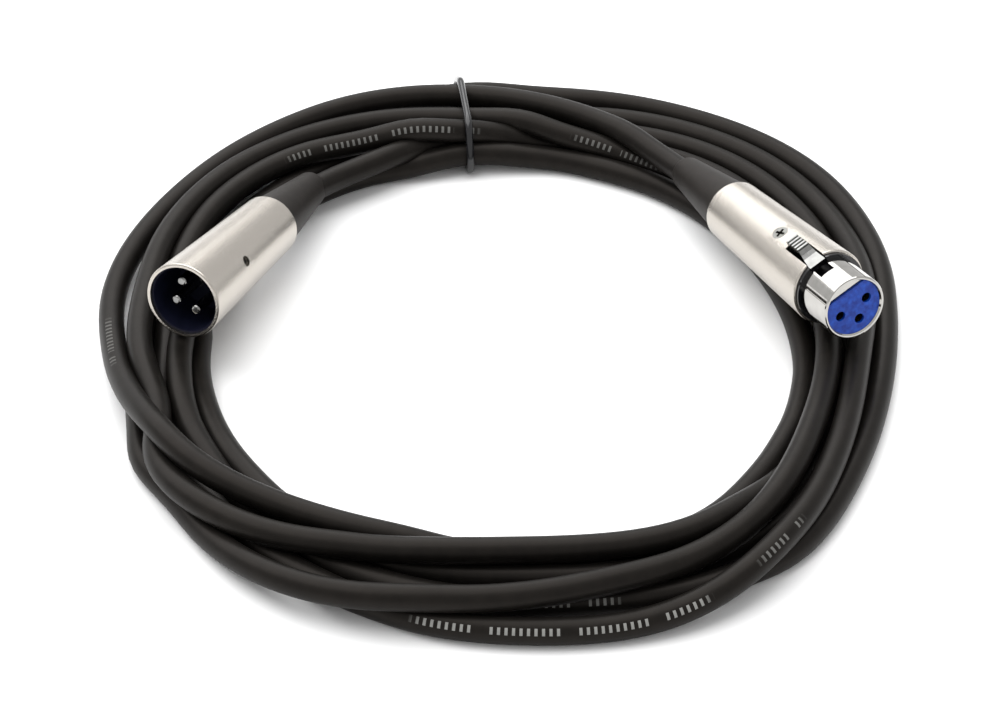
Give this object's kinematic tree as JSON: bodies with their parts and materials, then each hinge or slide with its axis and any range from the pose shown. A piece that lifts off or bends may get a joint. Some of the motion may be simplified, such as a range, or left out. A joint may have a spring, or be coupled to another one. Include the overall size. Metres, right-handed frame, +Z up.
{
  "type": "coiled balanced audio cable",
  "caption": "Round coil of black microphone cable, tied once, with a metal three-pin male and a latching three-socket female connector resting on its inner edge.",
  "frame": {"origin": "centre of the coil, on the surface that it lies on", "axes": "+Z up out of the surface; both connectors point towards -Y, the male one on the -X side; +Y is towards the band and the two ends of the cable"},
  "size_m": [0.192, 0.214, 0.0312],
  "materials": {
    "cable_jacket": "matt moulded jacket with a soft sheen",
    "tie_rubber": "glossy round cord",
    "satin_nickel": "fine-blasted satin nickel plating",
    "bright_nickel": "bright nickel plating",
    "insert_dark": "moulded, slight sheen",
    "insert_blue": "moulded, slight sheen",
    "contact_silver": "silver plated, smooth",
    "contact_gold": "plated brass",
    "gasket_black": "glossy elastomer",
    "boot_rubber": "matt soft rubber",
    "clamp_steel": "plain zinc plating",
    "spring_steel": "spring temper",
    "wire_red": "insulation",
    "wire_white": "insulation",
    "bare_copper": "twisted bare strands"
  },
  "bodies": {
    "cable": {"cable_coil": "cable_jacket", "cable_lead_male": "cable_jacket", "cable_lead_female": "cable_jacket", "cable_tie": "tie_rubber", "male_shell": "satin_nickel", "male_insert": "insert_dark", "male_pin_1": "contact_silver", "male_pin_2": "contact_silver", "male_pin_3": "contact_silver", "male_set_screw": "bright_nickel", "male_cable_clamp": "clamp_steel", "male_clamp_screws": "clamp_steel", "male_boot": "boot_rubber", "male_wire_hot": "wire_red", "male_wire_cold": "wire_white", "male_wire_shield": "bare_copper", "female_shell": "satin_nickel", "female_nose": "bright_nickel", "female_gasket": "gasket_black", "female_insert": "insert_blue", "female_socket_1": "contact_gold", "female_socket_2": "contact_gold", "female_socket_3": "contact_gold", "latch_spring": "spring_steel", "latch_pivot_pin": "clamp_steel", "female_set_screw": "bright_nickel", "female_cable_clamp": "clamp_steel", "female_clamp_screws": "clamp_steel", "female_boot": "boot_rubber", "female_wire_hot": "wire_red", "female_wire_cold": "wire_white", "female_wire_shield": "bare_copper"},
    "latch_lever": {"latch": "bright_nickel"}
  },
  "joints": [
    {"name": "latch_press", "type": "hinge", "parent": "cable", "child": "latch_lever", "pos_m": [0.06649, 0.01504, 0.02221], "axis": [0.8031, 0.4393, 0.4025], "range_deg": [0, 3.5], "stiffness_Nm_per_rad": 1, "springref_deg": -1.72, "deforming": ["latch_spring"]}
  ]
}
